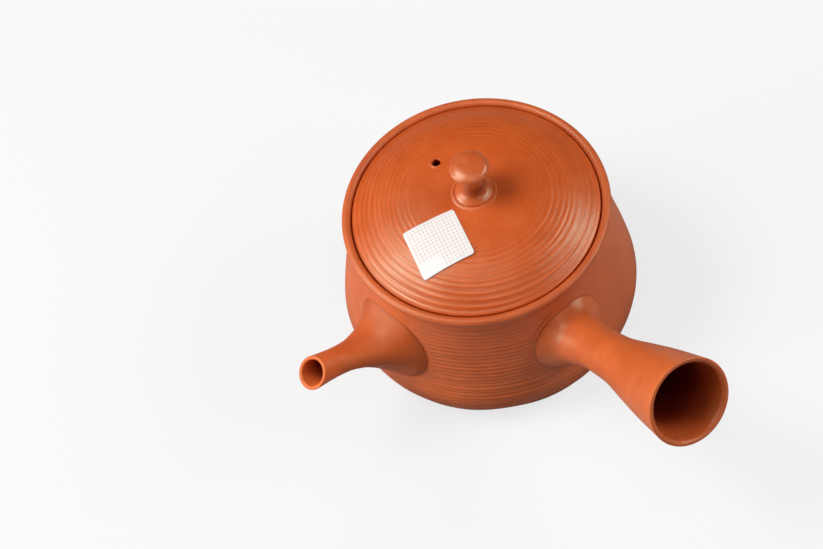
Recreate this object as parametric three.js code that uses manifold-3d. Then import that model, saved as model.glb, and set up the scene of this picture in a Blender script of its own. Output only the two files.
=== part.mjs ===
// Side-handled clay teapot: thrown body, luted spout and hollow handle, sieve and lift-off lid.
// Millimetres, +Z up. Origin at the centre of the flat base, +X along the handle.
import * as THREE from 'three';
import { mergeVertices } from 'three/addons/utils/BufferGeometryUtils.js';
import Module from 'manifold-3d';

const wasm = await Module();
wasm.setup();

// Body
const baseRadius = 43;
const bellyRadius = 55.3;
const bellyHeight = 14.5;
const neckRadius = 46.7;
const neckHeight = 55.2;
const rimRadius = 49;
const rimHeight = 62;
const lipWidth = 3.3;
const lipDepth = 3.4;
const bodyWall = 3.2;
const floorThickness = 4;
const sidePower = 1.2;

// Seat for the lid inside the lip
const seatDepth = 4;
const seatWidth = 4.7;
const seatThickness = 3;

// Lid
const lidClearance = 0.5;
const lidEdgeDrop = 1.1;
const domeRise = 11;
const domePower = 3.5;
const lidWall = 3.2;
const flangeClearance = 0.6;
const flangeThickness = 2.8;
const flangeDepth = 6.5;
const knobPadRadius = 10;
const ventRadius = 1.55;
const ventReach = 19.2;
const ventAzimuth = -175.7;

// Knob
const knobFootRadius = 6.75;
const knobSlipRadius = 8.4;
const knobSlipHeight = 0.7;
const knobWaistRadius = 3.7;
const knobCapRadius = 7.2;
const knobCapHeight = 15.2;
const knobCrown = 2.3;
const knobOffsetReach = 0.6;
const knobOffAzimuth = 60.9;

// Handle, a hollow flared tube that rises outwards
const handleElevation = 29.1;
const handleAxisHeight = 7.9;
const handleReach = 133.5;
const handleEndRadius = 15.9;
const handleWaistRadius = 8.2;
const handleWaistReach = 76;
const handleRootRadius = 14.8;
const handleRootReach = 54;
const handleWall = 2.5;

// Spout, a slender tube that spreads into the body and is cut level at its mouth
const spoutAzimuth = -85.6;
const spoutElevation = 26.3;
const spoutMouthRadius = 5.95;
const spoutMouthDistance = 82.7;
const spoutMouthHeight = 47.3;
const spoutMouthTilt = 48.2;
const spoutNarrowRadius = 5.2;
const spoutRootRadius = 15;
const spoutRootReach = 34.5;
const spoutMouthWall = 1.3;
const spoutRootWall = 2.8;
const spoutRootLean = 5;
const spoutRootLift = 3.5;
const spoutRootTilt = 13.5;

// Sieve behind the spout
const pouringHoleRadius = 9.5;
const sieveRadius = 15;
const sieveSink = 4;
const sieveWall = 1.7;
const sieveHoleRadius = 0.75;
const sievePitch = 2.35;
const sieveRings = 5;

// Paper label
const labelSide = 20;
const labelThickness = 0.3;
const labelReach = 23.5;
const labelAzimuth = -69.9;
const labelTurn = -16;

// Gap left where separate pieces are joined or rest on each other
const joinGap = 0.3;
// Extra length by which a cut runs past the wall that it opens
const cutOverrun = 8;

const bodySegments = 64;
const lidSegments = 64;
const tubeSegments = 28;
const knobSegments = 24;
const sieveSegments = 24;
const holeSegments = 6;

const radians = THREE.MathUtils.degToRad;

// Solids

function toSolid(geometry) {
  const bare = geometry.clone();
  bare.deleteAttribute('normal');
  bare.deleteAttribute('uv');
  const merged = mergeVertices(bare);
  const mesh = new wasm.Mesh({
    numProp: 3,
    vertProperties: new Float32Array(merged.attributes.position.array),
    triVerts: new Uint32Array(merged.index.array),
  });
  return new wasm.Manifold(mesh);
}

function toGeometry(solid) {
  const mesh = solid.getMesh();
  const geometry = new THREE.BufferGeometry();
  geometry.setAttribute('position', new THREE.BufferAttribute(mesh.vertProperties, mesh.numProp));
  geometry.setIndex(new THREE.BufferAttribute(mesh.triVerts, 1));
  geometry.computeVertexNormals();
  return geometry;
}

// Turns a closed outline of [radius, height] points about the Z axis
function revolve(outline, segments) {
  const points = outline.map(([radius, height]) => new THREE.Vector2(radius, height));
  return new THREE.LatheGeometry(points, segments).rotateX(Math.PI / 2);
}

// Turns local +Z to a direction given by azimuth and elevation, and moves it to a place
function aim(geometry, azimuth, elevation, place) {
  return geometry
    .rotateY(radians(90 - elevation))
    .rotateZ(radians(azimuth))
    .translate(place.x, place.y, place.z);
}

function polar(distance, azimuth, height) {
  const angle = radians(azimuth);
  return new THREE.Vector3(distance * Math.cos(angle), distance * Math.sin(angle), height);
}

function direction(azimuth, elevation) {
  const flat = Math.cos(radians(elevation));
  return polar(flat, azimuth, Math.sin(radians(elevation)));
}

// Samples a function at equal steps from one value to another, both ends included
function steps(from, to, count, at) {
  const list = [];
  for (let i = 0; i <= count; i += 1) {
    list.push(at(from + ((to - from) * i) / count));
  }
  return list;
}

// Cubic curve through values given at shares of a length
function alongShares(shares, values) {
  const knots = shares.map((share, i) => new THREE.Vector2(share, values[i]));
  return (share) => {
    let i = 0;
    while (i < knots.length - 2 && share > knots[i + 1].x) {
      i += 1;
    }
    const slope = (k) => {
      const before = knots[Math.max(k - 1, 0)];
      const after = knots[Math.min(k + 1, knots.length - 1)];
      return (after.y - before.y) / (after.x - before.x);
    };
    const width = knots[i + 1].x - knots[i].x;
    const u = (share - knots[i].x) / width;
    const rise = knots[i + 1].y - knots[i].y;
    const start = slope(i) * width;
    const end = slope(i + 1) * width;
    return knots[i].y + u * (start + u * (3 * rise - 2 * start - end + u * (start + end - 2 * rise)));
  };
}

// Body

const seatHeight = rimHeight - seatDepth;
const galleryRadius = rimRadius - lipWidth;
const throatRadius = galleryRadius - seatWidth;
const lipRound = lipWidth / 2;

function bodySide(height) {
  const share = (height - bellyHeight) / (neckHeight - bellyHeight);
  return bellyRadius - (bellyRadius - neckRadius) * share ** sidePower;
}

// Rounded corner between the base and the belly, drawn in by an inset
function lowerCorner(inset, floor) {
  const width = bellyRadius - baseRadius;
  const height = bellyHeight - floor;
  return steps(0, Math.PI / 2, 5, (angle) => [
    baseRadius - inset + width * Math.sin(angle),
    floor + height * (1 - Math.cos(angle)),
  ]);
}

function outerWall(outset) {
  const side = steps(bellyHeight, neckHeight, 6, (height) => [bodySide(height) + outset, height]);
  return [...lowerCorner(-outset, 0), ...side.slice(1)];
}

function innerWall(inset) {
  const top = neckHeight - seatThickness;
  const side = steps(bellyHeight, top, 6, (height) => [bodySide(height) - inset, height]);
  return [...lowerCorner(inset, floorThickness), ...side.slice(1)];
}

function lipOutline() {
  const centreHeight = rimHeight - lipRound;
  const round = steps(0, Math.PI, 6, (angle) => [
    rimRadius - lipRound + lipRound * Math.cos(angle),
    centreHeight + lipRound * Math.sin(angle),
  ]);
  const underside = [rimRadius - lipRound / 2, rimHeight - lipDepth];
  return [underside, ...round];
}

function makeBody() {
  const throat = [
    [galleryRadius, seatHeight],
    [throatRadius, seatHeight],
    [throatRadius, seatHeight - seatThickness],
  ];
  const outline = [
    [0, 0],
    ...outerWall(0),
    ...lipOutline(),
    ...throat,
    ...innerWall(bodyWall).reverse(),
    [0, floorThickness],
  ];
  const shell = toSolid(revolve(outline, bodySegments));
  return toGeometry(shell.subtract(pouringHole()));
}

// The space that the body fills from outside, with the joining gap around it
function bodyEnvelope() {
  const outline = [[0, 0], ...outerWall(joinGap), [0, neckHeight]];
  return toSolid(revolve(outline, bodySegments));
}

// The space inside the body, with the joining gap left to its wall
function bodyCavity() {
  const wall = innerWall(bodyWall + joinGap);
  const outline = [[0, floorThickness], ...wall, [0, wall.at(-1)[1]]];
  return toSolid(revolve(outline, bodySegments));
}

// Spout

const spoutAxis = direction(spoutAzimuth, spoutElevation);
const spoutMouth = polar(spoutMouthDistance, spoutAzimuth, spoutMouthHeight);
const spoutSide = direction(spoutAzimuth + 90, 0);
const spoutMouthExtra = 6;
const spoutShares = [0, 0.35, 0.5, 0.6, 0.7, 0.8, 0.9, 1, 1.24];
const spoutFlareShares = [0, 0, 0.02, 0.08, 0.2, 0.38, 0.65, 1, 1.4];
const spoutMouthShare = 0.35;

function spoutRadius(back) {
  const share = Math.max(back / spoutRootReach, 0);
  const rootFlare = alongShares(spoutShares, spoutFlareShares)(share);
  const mouthFlare = Math.max(1 - share / spoutMouthShare, 0) ** 1.5;
  return spoutNarrowRadius
    + (spoutMouthRadius - spoutNarrowRadius) * mouthFlare
    + (spoutRootRadius - spoutNarrowRadius) * rootFlare;
}

function spoutWall(back) {
  const share = Math.max(back / spoutRootReach, 0);
  return spoutMouthWall + (spoutRootWall - spoutMouthWall) * share;
}

// Share of the bend that the tube takes towards its root, where it was pressed onto the body
function rootShare(back) {
  return THREE.MathUtils.clamp((2 * back) / spoutRootReach - 1, 0, 1);
}

// Leans and tilts the straight tube near its root; local -X points up and local +Y to the side
function leanSpout(geometry) {
  const position = geometry.attributes.position;
  const slope = Math.tan(radians(spoutRootTilt));
  for (let i = 0; i < position.count; i += 1) {
    const share = rootShare(-position.getZ(i));
    const height = -position.getX(i);
    position.setXYZ(
      i,
      -height - spoutRootLift * share ** 3,
      position.getY(i) + spoutRootLean * share ** 3,
      position.getZ(i) + slope * height * share,
    );
  }
  return geometry;
}

function spoutTube(radiusAt) {
  const start = spoutRootReach + cutOverrun;
  const wall = steps(start, -spoutMouthExtra, 14, (back) => [radiusAt(back), -back]);
  const outline = [[0, -start], ...wall, [0, spoutMouthExtra]];
  return aim(leanSpout(revolve(outline, tubeSegments)), spoutAzimuth, spoutElevation, spoutMouth);
}

// Everything beyond the level cut of the mouth
function beyondMouth() {
  const side = spoutRootReach;
  const block = new THREE.BoxGeometry(side, side, side).translate(0, 0, side / 2);
  return toSolid(aim(block, spoutAzimuth, spoutMouthTilt, spoutMouth));
}

function makeSpout() {
  const outer = toSolid(spoutTube((back) => spoutRadius(back)));
  const bore = toSolid(spoutTube((back) => spoutRadius(back) - spoutWall(back)));
  return toGeometry(outer.subtract(bore).subtract(beyondMouth()).subtract(bodyEnvelope()));
}

// Point where the spout's axis meets the inside of the body
function spoutRootPoint() {
  const rise = (spoutMouthDistance - bellyRadius) * Math.tan(radians(spoutElevation));
  const insideRadius = bodySide(spoutMouthHeight - rise) - bodyWall;
  const back = (spoutMouthDistance - insideRadius) / Math.cos(radians(spoutElevation));
  const lean = spoutRootLean * rootShare(back) ** 3;
  return spoutMouth.clone().addScaledVector(spoutAxis, -back).addScaledVector(spoutSide, lean);
}

function pouringHole() {
  const length = bodyWall + 2 * cutOverrun;
  const drill = new THREE.CylinderGeometry(pouringHoleRadius, pouringHoleRadius, length, tubeSegments);
  return toSolid(aim(drill.rotateX(Math.PI / 2), spoutAzimuth, spoutElevation, spoutRootPoint()));
}

// Sieve

function sieveHoles() {
  const holes = [];
  const spin = new THREE.Quaternion();
  for (let ring = 0; ring < sieveRings; ring += 1) {
    const count = ring === 0 ? 1 : 6 * ring;
    const away = (ring * sievePitch) / sieveRadius;
    for (let i = 0; i < count; i += 1) {
      const hole = new THREE.CylinderGeometry(
        sieveHoleRadius, sieveHoleRadius, 2 * sieveWall, holeSegments,
      );
      hole.rotateX(Math.PI / 2).translate(0, 0, -sieveRadius);
      const turn = (2 * Math.PI * i) / count;
      const axis = new THREE.Vector3(Math.cos(turn), Math.sin(turn), 0);
      holes.push(hole.applyQuaternion(spin.setFromAxisAngle(axis, away)));
    }
  }
  return holes;
}

function makeSieve() {
  const centre = spoutRootPoint().addScaledVector(spoutAxis, sieveSink);
  const place = (geometry) => toSolid(aim(geometry, spoutAzimuth, spoutElevation, centre));
  const bulb = place(new THREE.SphereGeometry(sieveRadius, sieveSegments, sieveSegments / 2));
  const hollow = place(
    new THREE.SphereGeometry(sieveRadius - sieveWall, sieveSegments, sieveSegments / 2),
  );
  let shell = bulb.subtract(hollow).intersect(bodyCavity());
  for (const hole of sieveHoles()) {
    shell = shell.subtract(place(hole));
  }
  return toGeometry(shell);
}

// Handle

const handleRootShares = [0, 0.22, 0.47, 0.65, 0.82, 1];
const handleRootFlareShares = [1, 0.8, 0.58, 0.3, 0.1, 0];
const handleEndShares = [0, 0.1, 0.28, 0.49, 0.73, 1];
const handleEndFlareShares = [0, 0.02, 0.11, 0.4, 0.72, 1];

function handleRadius(reach) {
  if (reach < handleWaistReach) {
    const share = (reach - handleRootReach) / (handleWaistReach - handleRootReach);
    const flare = alongShares(handleRootShares, handleRootFlareShares)(Math.max(share, 0));
    return handleWaistRadius + (handleRootRadius - handleWaistRadius) * flare;
  }
  const share = (reach - handleWaistReach) / (handleReach - handleWaistReach);
  const flare = alongShares(handleEndShares, handleEndFlareShares)(Math.min(share, 1));
  return handleWaistRadius + (handleEndRadius - handleWaistRadius) * flare;
}

function handleTube(inset, start, end) {
  const wall = steps(start, end, 16, (reach) => [handleRadius(reach) - inset, reach]);
  const outline = [[0, start], ...wall, [0, end]];
  const place = new THREE.Vector3(0, 0, handleAxisHeight);
  return toSolid(aim(revolve(outline, tubeSegments), 0, handleElevation, place));
}

function makeHandle() {
  const inside = bodySide(handleAxisHeight + handleRootReach * Math.sin(radians(handleElevation)));
  const start = inside - bodyWall;
  const outer = handleTube(0, start, handleReach);
  const bore = handleTube(handleWall, start - cutOverrun, handleReach + cutOverrun);
  return toGeometry(outer.subtract(bore).subtract(bodyEnvelope()));
}

// Lid

const lidRadius = galleryRadius - lidClearance;
const lidEdgeHeight = rimHeight - lidEdgeDrop;
const domeHeight = lidEdgeHeight + domeRise;
const flangeRadius = throatRadius - flangeClearance;

function lidTop(radius) {
  const drop = Math.max(radius - knobPadRadius, 0) / (lidRadius - knobPadRadius);
  const full = (radius / lidRadius) ** domePower;
  return domeHeight - domeRise * full * Math.min(1, 4 * drop);
}

function makeLid() {
  const flangeInner = flangeRadius - flangeThickness;
  const flangeFoot = seatHeight - flangeDepth;
  const seat = seatHeight + joinGap;
  const under = steps(knobPadRadius, flangeInner, 4, (radius) => [radius, lidTop(radius) - lidWall]);
  const top = steps(lidRadius, knobPadRadius, 10, (radius) => [radius, lidTop(radius)]);
  const outline = [
    [0, domeHeight - lidWall],
    ...under,
    [flangeInner, flangeFoot],
    [flangeRadius, flangeFoot],
    [flangeRadius, seat],
    [lidRadius, seat],
    ...top,
    [0, domeHeight],
  ];
  const disc = toSolid(revolve(outline, lidSegments));
  const vent = new THREE.CylinderGeometry(ventRadius, ventRadius, 4 * lidWall, knobSegments / 2);
  const place = polar(ventReach, ventAzimuth, domeHeight);
  return toGeometry(disc.subtract(toSolid(vent.rotateX(Math.PI / 2).translate(...place))));
}

// Knob

const knobWaistShares = [0, 0.06, 0.2, 0.42, 0.62, 0.8, 0.92];
const knobFootFlareShares = [1, 0.93, 0.52, 0.13, 0, 0, 0];
const knobCapFlareShares = [0, 0, 0, 0, 0.06, 0.4, 0.84];

function makeKnob() {
  const rise = knobCapHeight - knobSlipHeight;
  const stem = knobWaistShares.map((share, i) => [
    knobWaistRadius
      + (knobFootRadius - knobWaistRadius) * knobFootFlareShares[i]
      + (knobCapRadius - knobWaistRadius) * knobCapFlareShares[i],
    knobSlipHeight + rise * share,
  ]);
  const crown = steps(0, Math.PI / 2, 4, (angle) => [
    knobCapRadius * Math.cos(angle),
    knobCapHeight + knobCrown * Math.sin(angle),
  ]);
  const outline = [
    [0, 0],
    [knobSlipRadius, 0],
    [knobSlipRadius, knobSlipHeight / 2],
    [knobFootRadius, knobSlipHeight / 2],
    ...stem,
    ...crown.slice(0, -1),
    [0, knobCapHeight + knobCrown],
  ];
  const place = polar(knobOffsetReach, knobOffAzimuth, domeHeight + joinGap);
  return toGeometry(toSolid(revolve(outline, knobSegments).translate(place.x, place.y, place.z)));
}

// Label, a square of paper that follows the dome of the lid

function makeLabel() {
  const sheet = new THREE.BoxGeometry(labelSide, labelSide, labelThickness, 6, 6, 1);
  const centre = polar(labelReach, labelAzimuth, 0);
  sheet.rotateZ(radians(labelTurn)).translate(centre.x, centre.y, labelThickness / 2 + joinGap);
  const position = sheet.attributes.position;
  for (let i = 0; i < position.count; i += 1) {
    const radius = Math.hypot(position.getX(i), position.getY(i));
    position.setZ(i, position.getZ(i) + lidTop(radius));
  }
  return toGeometry(toSolid(sheet));
}

// Pieces

function piece(name, geometry, color, roughness) {
  const material = new THREE.MeshStandardMaterial({ color, roughness, metalness: 0 });
  const mesh = new THREE.Mesh(geometry, material);
  mesh.name = name;
  return mesh;
}

const clay = 0xc2592c;
const paper = 0xf4f1ea;
const teapot = new THREE.Group();
teapot.add(
  piece('pot_body', makeBody(), clay, 0.55),
  piece('spout', makeSpout(), clay, 0.5),
  piece('handle', makeHandle(), clay, 0.5),
  piece('sieve', makeSieve(), clay, 0.6),
  piece('lid', makeLid(), clay, 0.55),
  piece('lid_knob', makeKnob(), clay, 0.5),
  piece('lid_label', makeLabel(), paper, 0.8),
);

export default teapot;
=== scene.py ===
import math
from collections.abc import Callable
from dataclasses import dataclass

import bpy
import numpy as np
from mathutils import Matrix, Vector


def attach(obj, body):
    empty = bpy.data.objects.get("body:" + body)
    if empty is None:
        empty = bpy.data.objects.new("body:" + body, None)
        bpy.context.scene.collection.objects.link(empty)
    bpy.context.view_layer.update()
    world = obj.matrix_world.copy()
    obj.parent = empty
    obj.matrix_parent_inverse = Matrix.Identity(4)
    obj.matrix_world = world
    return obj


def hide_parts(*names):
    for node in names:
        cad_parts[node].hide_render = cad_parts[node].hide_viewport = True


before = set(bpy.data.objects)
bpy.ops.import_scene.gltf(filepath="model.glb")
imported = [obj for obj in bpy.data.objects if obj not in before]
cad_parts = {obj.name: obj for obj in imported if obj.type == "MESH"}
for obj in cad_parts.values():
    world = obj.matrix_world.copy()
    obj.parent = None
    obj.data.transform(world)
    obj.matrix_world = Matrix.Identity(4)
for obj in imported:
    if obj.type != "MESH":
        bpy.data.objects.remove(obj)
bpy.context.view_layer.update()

# Lengths in millimetres on the frame's own axes, angles in degrees
MM = 0.001

# Body
base_radius = 43.0
belly_radius = 55.3
belly_height = 14.5
neck_radius = 46.7
neck_height = 55.2
rim_radius = 49.0
rim_height = 62.0
lip_width = 3.3
body_wall = 3.2
floor_thickness = 4.0
side_power = 1.2
base_recess = 0.5
lip_start = -55
neck_bend = 1.3
first_ridge = 2.0
last_ridge = 52.0
ridge_depth = 0.4
ridge_pitch = 1.76
ridge_riser = 0.34
drag_height = 53.6
drag_depth = 0.12
throwing_depth = 0.16
throwing_pitch = 3.77

# Seat for the lid
seat_depth = 4.0
seat_width = 4.7
seat_thickness = 3.0
seat_fillet = 0.5
seat_round = 0.6

# Lid
lid_clearance = 0.5
lid_edge_drop = 1.1
dome_rise = 11.0
dome_power = 3.5
lid_wall = 3.2
flange_clearance = 0.6
flange_thickness = 2.8
flange_depth = 6.5
flange_round = 1.0
flange_fillet = 0.7
lid_edge_round = 0.5
knob_pad_radius = 10.0
ringed_from = 20.0
ring_depth = 0.11
ring_pitch = 1.95
ring_width = 0.42
first_ring = 21.8
rings_off_centre = 0.85
under_ring_depth = 0.14
under_ring_pitch = 2.9
vent_radius = 1.65
burr_height = 0.3
vent_reach = 19.2
vent_azimuth = -175.7
vent_overrun = 3.0

# Knob
knob_foot_radius = 6.75
knob_slip_radius = 8.4
knob_slip_height = 0.7
knob_waist_radius = 4.2
knob_cap_radius = 7.2
knob_cap_height = 14.8
knob_crown = 2.7
knob_nub = 0.12
knob_offset = 0.6
knob_offset_azimuth = 60.9

# Handle
handle_elevation = 29.1
handle_axis_height = 7.9
handle_reach = 133.5
handle_end_radius = 15.9
handle_waist_radius = 8.2
handle_waist_reach = 76.0
handle_root_radius = 14.8
handle_root_reach = 54.0
handle_wall = 2.5
handle_rim_round = 0.7
handle_rim_slope = 0.5
handle_bore_flare = 0.25
handle_foot_height = 7.0

# Spout
spout_azimuth = -85.6
spout_elevation = 26.3
spout_mouth_radius = 5.95
spout_mouth_distance = 82.7
spout_mouth_height = 47.3
spout_mouth_tilt = 48.2
spout_narrow_radius = 5.2
spout_root_radius = 15.0
spout_root_reach = 34.5
spout_mouth_wall = 1.3
spout_root_wall = 2.0
spout_root_lean = 5.0
spout_root_lift = 3.5
spout_root_tilt = 13.5
spout_rim_round = 0.45
spout_rim_slope = 0.2
spout_foot_height = 8.0

# Collar of slip around a root, outwards from its crease: reach, share of its height and painted shade in its
# creases
collar_profile = [
    (0.08, 0.1, 0.9), (0.2, 0.3, 0.7), (0.4, 0.72, 0.2), (0.62, 0.97, 0.0), (0.85, 1.0, 0.0),
    (1.05, 0.85, 0.1), (1.25, 0.55, 0.35), (1.45, 0.22, 0.6), (1.6, 0.06, 0.7), (1.8, -0.3, 0.7),
]

# Sieve
pouring_hole_radius = 9.5
pouring_hole_start = -12.0
pouring_hole_end = 8.0
sieve_radius = 15.0
sieve_sink = 4.0
sieve_wall = 1.7
sieve_low_angle = -89.4
sieve_rim_angle = 12.0
sieve_hole_radius = 0.75
sieve_pitch = 2.35
sieve_rings = 5
sieve_pin_overrun = 1.5

# Label
label_side = 20.0
label_reach = 23.5
label_azimuth = -69.9
label_turn = -16.0
label_corner = 1.0
label_thickness = 0.09
grid_pitch = 1.36
grid_margin = 0.75
blank_width = 9.0
blank_height = 5.6

# Gap between pieces, depth of sunk edges, outlines' gap from the axis, stand-in for no place
join_gap = 0.3
sink = 0.3
axis_gap = 2.0
nowhere = -50.0

# Colours, where tones are the darkest and the lightest
body_tones = (0.62, 0.1155, 0.031), (0.785, 0.162, 0.04)
spout_tones = (0.57, 0.098, 0.02), (0.725, 0.134, 0.025)
handle_tones = (0.63, 0.118, 0.026), (0.79, 0.161, 0.035)
sieve_tones = (0.5, 0.092, 0.027), (0.65, 0.13, 0.036)
lid_tones = (0.585, 0.0915, 0.015), (0.675, 0.114, 0.0185)
knob_tones = (0.585, 0.104, 0.023), (0.705, 0.136, 0.03)
paper_tones = (0.87, 0.85, 0.82), (0.93, 0.915, 0.89)
print_colour = (0.64, 0.32, 0.28)
sheen_tint = (0.92, 1.0, 0.74)
floor_seen = (0.85, 0.85, 0.85)
floor_bounce = (0.15, 0.15, 0.15)
floor_glow = (0.97, 0.97, 0.97)

# Lamps and floor in metres, each lamp with its azimuth, elevation and level
lamp_distance = 1.3
lamp_size = 0.6
lamp_centre = (0, 0, 0.04)
lamps = {
    "left_high": (-143, 56, 0.21),
    "left_upper": (-121, 56, 0.41),
    "left_low": (-121, 14, 0.4),
    "front_low": (-99, 14, 0.22),
    "overhead": (-30, 72, 0.1),
    "handle_low": (0, 14, 0.08),
    "right_front": (35, 34, 0.15),
    "right_middle": (65, 34, 0.34),
}
floor_reach = 6.0

# Even light from all around, as it falls on things and as it is seen
sky_level = 0.02
background_level = 0.9

# Camera: its sight in pixels of the image, and the pixel where the pot's axis leaves the rim's plane
image_width = 823
image_height = 549
focal_pixels = 2400.0
axis_pixel = (475.2, 206.8)
image_right_azimuth = 60.9
view_elevation = 55.9
view_roll = -11.76
view_distance = 866.0
sensor_width = 36

# Heights and radii that follow from these
seat_height = rim_height - seat_depth
gallery_radius = rim_radius - lip_width
throat_radius = gallery_radius - seat_width
lid_radius = gallery_radius - lid_clearance
lid_edge_height = rim_height - lid_edge_drop
dome_height = lid_edge_height + dome_rise
flange_radius = throat_radius - flange_clearance
flange_inner = flange_radius - flange_thickness
flange_foot = seat_height - flange_depth


# Numbers

def clamp(value):
    return np.clip(value, 0, 1)


def smooth(low, high, value):
    """Rises softly from 0 at the low value to 1 at the high value"""
    share = clamp((value - low) / (high - low))
    return share * share * (3 - 2 * share)


def window(start, full, fading, end, value):
    """Rises softly from start to full and falls softly from fading to end"""
    return smooth(start, full, value) * (1 - smooth(fading, end, value))


def bell(value, width):
    """Falls softly from 1 at zero to a third at the width"""
    return np.exp(-(value / width) ** 2)


def along(shares, values):
    """Cubic curve through values given at shares of a length"""
    x = np.array(shares, float)
    y = np.array(values, float)
    last = len(x) - 1
    before = [max(k - 1, 0) for k in range(last + 1)]
    after = [min(k + 1, last) for k in range(last + 1)]
    slope = (y[after] - y[before]) / (x[after] - x[before])

    def curve(share):
        share = np.asarray(share, float)
        i = np.clip(np.searchsorted(x, share, side="left") - 1, 0, last - 1)
        width = x[i + 1] - x[i]
        u = (share - x[i]) / width
        rise = y[i + 1] - y[i]
        start = slope[i] * width
        end = slope[i + 1] * width
        return y[i] + u * (start + u * (3 * rise - 2 * start - end + u * (start + end - 2 * rise)))

    return curve


def around(places, values):
    """Smooth closed curve through values given at places in degrees, as a function of radians"""
    turns = np.array(places, float)
    x = np.concatenate([turns[-2:] - 360, turns, turns[:2] + 360])
    y = np.concatenate([values[-2:], values, values[:2]])
    curve = along(x, y)
    return lambda angle: curve(np.degrees(angle) % 360)


def wave(seed, terms, falloff=1.0):
    """Smooth random function of an angle in radians, within about -1 to 1"""
    rng = np.random.default_rng(seed)
    phases = rng.uniform(0, 2 * math.pi, terms)
    sizes = rng.uniform(0.5, 1.0, terms) / np.arange(1, terms + 1) ** falloff
    sizes /= math.sqrt((sizes ** 2).sum())

    def at(angle):
        angle = np.asarray(angle, float)
        turns = np.arange(1, terms + 1)
        return (sizes * np.cos(angle[..., None] * turns + phases)).sum(-1)

    return at


def pairs(first, second):
    return np.stack([first, second], -1)


def turn_angles(count):
    """Angles in radians that divide a full turn evenly"""
    return np.linspace(0, 2 * math.pi, count, endpoint=False)


def spaced(first, last, pitch, play, seed):
    """Places from first to just past last, a pitch apart give or take a share of it"""
    rng = np.random.default_rng(seed)
    places = [first]
    while places[-1] < last:
        places.append(places[-1] + pitch * rng.uniform(1 - play, 1 + play))
    return places


def direction(azimuth, elevation):
    a = math.radians(azimuth)
    e = math.radians(elevation)
    return np.array([math.cos(e) * math.cos(a), math.cos(e) * math.sin(a), math.sin(e)])


def polar(distance, azimuth, height):
    a = math.radians(azimuth)
    return np.array([distance * math.cos(a), distance * math.sin(a), height])


def frame_along(azimuth, elevation):
    """Unit vectors along a direction, level across it, and up from both"""
    axis = direction(azimuth, elevation)
    side = direction(azimuth + 90, 0)
    return axis, side, np.cross(axis, side)


def unit(vectors):
    return vectors / np.linalg.norm(vectors, axis=-1)[..., None]


def spun(degrees):
    """Matrix that turns vectors about the Z axis"""
    angle = math.radians(degrees)
    cosine = math.cos(angle)
    sine = math.sin(angle)
    return np.array([[cosine, -sine, 0], [sine, cosine, 0], [0, 0, 1]])


def aimed(points, azimuth, elevation, place):
    """Turns local +Z to a direction and moves it to a place"""
    tilt = math.radians(90 - elevation)
    tilted = np.array([
        [math.cos(tilt), 0, math.sin(tilt)],
        [0, 1, 0],
        [-math.sin(tilt), 0, math.cos(tilt)],
    ])
    return np.asarray(points) @ tilted.T @ spun(azimuth).T + np.asarray(place)


def bezier(start, first, second, end, count):
    t = np.linspace(0, 1, count)[:, None]
    terms = enumerate(zip((1, 3, 3, 1), (start, first, second, end)))
    return sum(times * t ** k * (1 - t) ** (3 - k) * np.array(point) for k, (times, point) in terms)


def arc(centre, radius, start, end, count):
    t = np.radians(np.linspace(start, end, count))
    return pairs(centre[0] + radius * np.cos(t), centre[1] + radius * np.sin(t))


# Meshes

def make_object(name, points, faces, marks=None):
    """Smooth object from points in millimetres, with a value at each point for each mark"""
    mesh = bpy.data.meshes.new(name)
    mesh.from_pydata((np.array(points) * MM).tolist(), [], faces)
    mesh.update()
    for label, values in (marks or {}).items():
        layer = mesh.attributes.new(label, "FLOAT", "POINT")
        layer.data.foreach_set("value", np.asarray(values, np.float32))
    mesh.polygons.foreach_set("use_smooth", [True] * len(mesh.polygons))
    piece = bpy.data.objects.new(name, mesh)
    bpy.context.scene.collection.objects.link(piece)
    return piece


def grid_faces(rows, columns, close_rows):
    """Four-cornered faces of a grid whose columns close into a ring, and its rows too where asked"""
    i = np.arange(rows if close_rows else rows - 1)[:, None]
    j = np.arange(columns)[None, :]
    after = (i + 1) % rows
    beside = (j + 1) % columns
    corners = [i * columns + j, i * columns + beside, after * columns + beside, after * columns + j]
    return np.stack(np.broadcast_arrays(*corners), -1).reshape(-1, 4)


def turned(name, outline, columns, shape=None, marks=None, centre=(0, 0)):
    """Closed solid from an outline of [radius, height] that starts and ends beside the axis.

    shape gives a push along the outline's normal for each row and column.
    """
    outline = np.asarray(outline, float)
    rows = len(outline)
    azimuth = turn_angles(columns)
    step = np.gradient(outline, axis=0)
    normal = unit(pairs(step[:, 1], -step[:, 0]))
    push = np.zeros((rows, columns)) if shape is None else shape
    radius = outline[:, 0, None] + normal[:, 0, None] * push
    height = outline[:, 1, None] + normal[:, 1, None] * push
    x = centre[0] + radius * np.cos(azimuth)
    y = centre[1] + radius * np.sin(azimuth)
    grid = np.stack([x, y, height], -1).reshape(-1, 3)
    poles = [[centre[0], centre[1], height[0].mean()], [centre[0], centre[1], height[-1].mean()]]
    points = np.concatenate([grid, poles])
    faces = grid_faces(rows, columns, False).tolist()
    first = rows * columns
    top = (rows - 1) * columns
    for j in range(columns):
        k = (j + 1) % columns
        faces.append([first, k, j])
        faces.append([first + 1, top + j, top + k])
    values = {}
    for label, mark in (marks or {}).items():
        values[label] = np.concatenate([mark.reshape(-1), mark[0, :1], mark[-1, :1]])
    return make_object(name, points, faces, values)


def ring_solid(name, rows, marks):
    """Closed solid from rows of points that close both ways, such as a thick-walled tube"""
    faces = grid_faces(*rows.shape[:2], True).tolist()
    values = {label: mark.reshape(-1) for label, mark in marks.items()}
    return make_object(name, rows.reshape(-1, 3), faces, values)


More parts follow.
